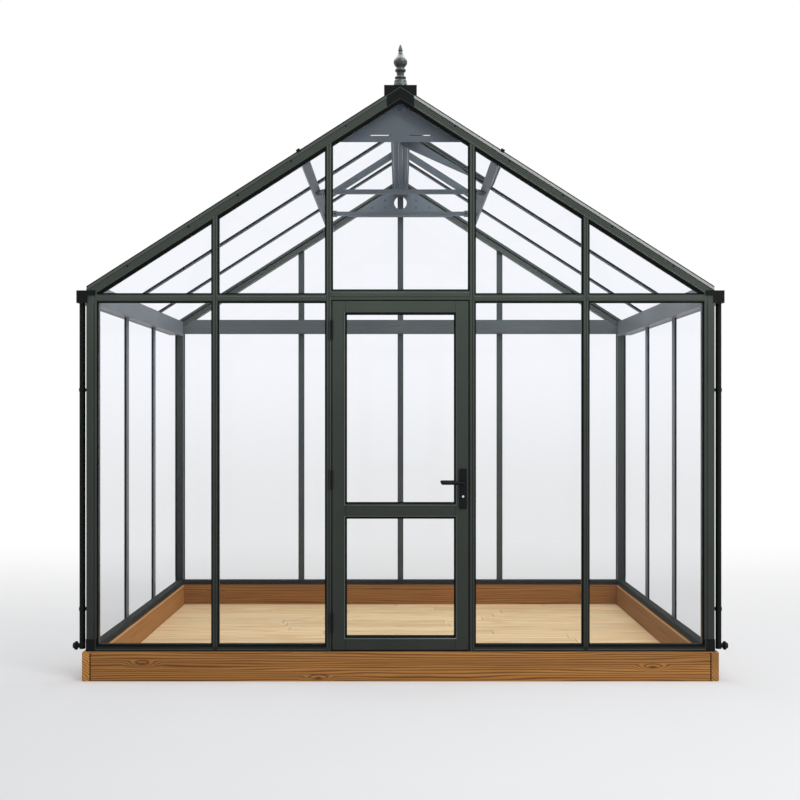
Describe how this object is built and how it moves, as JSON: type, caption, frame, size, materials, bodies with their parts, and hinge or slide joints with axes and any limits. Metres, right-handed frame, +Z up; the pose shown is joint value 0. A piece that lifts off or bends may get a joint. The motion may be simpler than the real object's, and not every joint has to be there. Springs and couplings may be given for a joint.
{
  "type": "glass greenhouse",
  "caption": "Free-standing glass greenhouse with a pitched roof, dark green aluminium frame, timber base, plank floor and one glazed door.",
  "frame": {"origin": "on the ground under the middle of the frame", "axes": "+X right across the gable seen from the door side, +Y back from the door wall along the ridge, +Z up"},
  "size_m": [3.612, 2.512, 3.5198],
  "materials": {
    "painted aluminium": "satin",
    "base timber": "matte",
    "floor wood": "matte",
    "clear glass": "clear",
    "black plastic": "matte",
    "black metal": "satin",
    "finial metal": "satin"
  },
  "bodies": {
    "greenhouse": {"base_front_beam": "base timber", "base_back_beam": "base timber", "base_left_beam": "base timber", "base_right_beam": "base timber", "floor_deck": "floor wood", "front_sill": "painted aluminium", "back_sill": "painted aluminium", "side_sills": "painted aluminium", "door_threshold": "painted aluminium", "corner_posts": "painted aluminium", "post_feet": "black plastic", "front_mullions": "painted aluminium", "door_posts": "painted aluminium", "front_transom": "painted aluminium", "door_head": "painted aluminium", "back_mullions": "painted aluminium", "back_eave_beam": "painted aluminium", "side_mullions": "painted aluminium", "eave_beams": "painted aluminium", "gutters": "painted aluminium", "gutter_end_caps": "black plastic", "downpipes": "black plastic", "pipe_clips": "black plastic", "front_rafters": "painted aluminium", "back_rafters": "painted aluminium", "apex_plates": "black metal", "ridge_beam": "painted aluminium", "ridge_end_boxes": "black metal", "finials": "finial metal", "roof_bars": "painted aluminium", "purlins": "painted aluminium", "collar_ties": "painted aluminium", "jack_rafters": "painted aluminium", "front_gusset": "painted aluminium", "back_gusset": "painted aluminium", "vent_frame": "painted aluminium", "vent_crossbars": "painted aluminium", "vent_opener": "painted aluminium", "front_glass": "clear glass", "back_glass": "clear glass", "side_glass": "clear glass", "roof_glass": "clear glass", "vent_glass": "clear glass", "door_hinges": "black metal"},
    "door": {"door_stiles": "painted aluminium", "door_rails": "painted aluminium", "door_glass": "clear glass", "hinge_knuckles": "black metal", "handle_plates": "black metal"},
    "lever": {"lever_handle": "black metal"}
  },
  "joints": [
    {"name": "door_hinge", "type": "hinge", "parent": "greenhouse", "child": "door", "pos_m": [-0.377, -1.229, 1.1], "axis": [0, 0, -1], "range_deg": [0, 110]},
    {"name": "lever_turn", "type": "hinge", "parent": "door", "child": "lever", "pos_m": [0.3435, -1.2, 1.086], "axis": [0, -1, 0], "range_deg": [0, 40], "stiffness_Nm_per_rad": 0.8, "springref_deg": -40.11}
  ]
}
